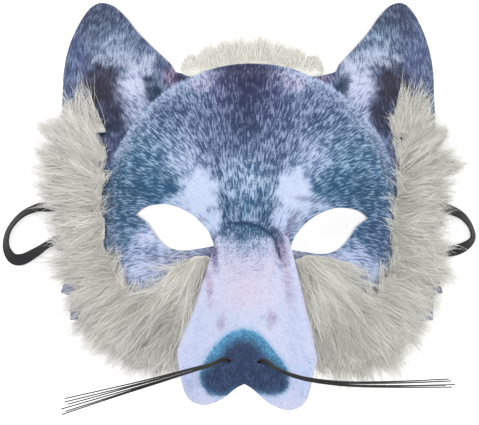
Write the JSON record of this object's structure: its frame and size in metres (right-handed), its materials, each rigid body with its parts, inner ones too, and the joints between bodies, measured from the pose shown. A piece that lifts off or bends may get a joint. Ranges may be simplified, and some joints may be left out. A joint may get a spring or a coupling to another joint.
{
  "type": "wolf mask",
  "caption": "Moulded half-face wolf mask of printed plush with upright ears, eye holes, raised snout, whiskers, fur ruff at the cheeks and a flat elastic.",
  "frame": {"origin": "centre of the bounding box's underside, on the table that the mask lies on, face up", "axes": "+X towards the wearer's left ear side of the picture's right, +Y towards the ears, +Z out of the face, away from the table"},
  "size_m": [0.2435, 0.2057, 0.0973],
  "materials": {
    "printed_plush": "matte",
    "snout_plush": "matte",
    "fur_left": "matte",
    "fur_right": "matte",
    "fur_cream": "matte",
    "bristle": "glossy",
    "elastic": "matte"
  },
  "bodies": {
    "root": {"face_shell": "printed_plush", "snout": "snout_plush", "fur_cheek_left": "fur_left", "fur_cheek_right": "fur_right", "fur_crown": "fur_cream", "whiskers_left": "bristle", "whiskers_right": "bristle", "elastic_strap": "elastic"}
  },
  "joints": []
}
